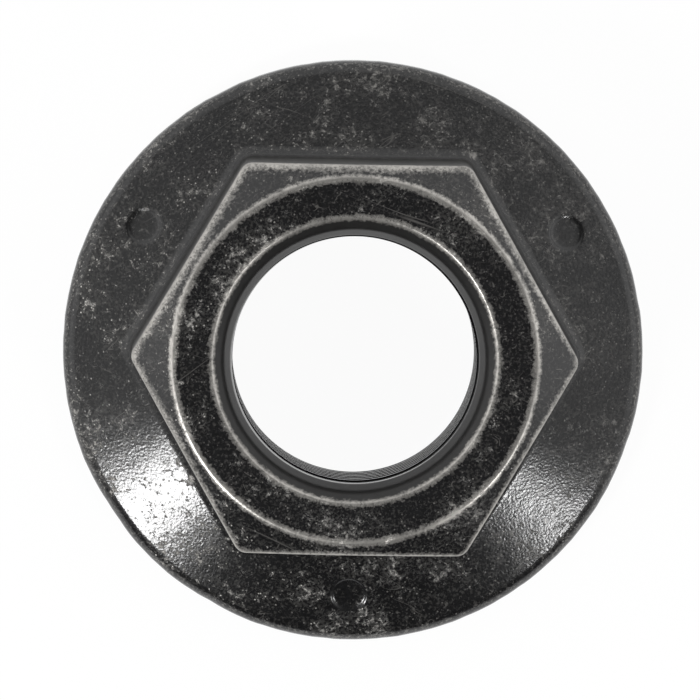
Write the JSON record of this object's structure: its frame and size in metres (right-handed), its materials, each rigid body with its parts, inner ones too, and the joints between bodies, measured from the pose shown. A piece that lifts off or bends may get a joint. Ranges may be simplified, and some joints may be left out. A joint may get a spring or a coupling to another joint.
{
  "type": "hex flange nut",
  "caption": "Hexagon nut with a round conical flange, fine metric thread, chamfered corners, countersunk ends and shallow punched dimples on the flange, in dark oxide-finished steel.",
  "frame": {"origin": "centre of the flat bearing face under the flange", "axes": "+Z along the thread axis, from the bearing face towards the top of the hexagon; +X through one corner of the hexagon"},
  "size_m": [0.0256, 0.0256, 0.012],
  "materials": {
    "black_oxide_steel": "dark oxide over forged steel, semi-gloss, worn bright on the edges"
  },
  "bodies": {
    "root": {"flange_nut": "black_oxide_steel"}
  },
  "joints": []
}
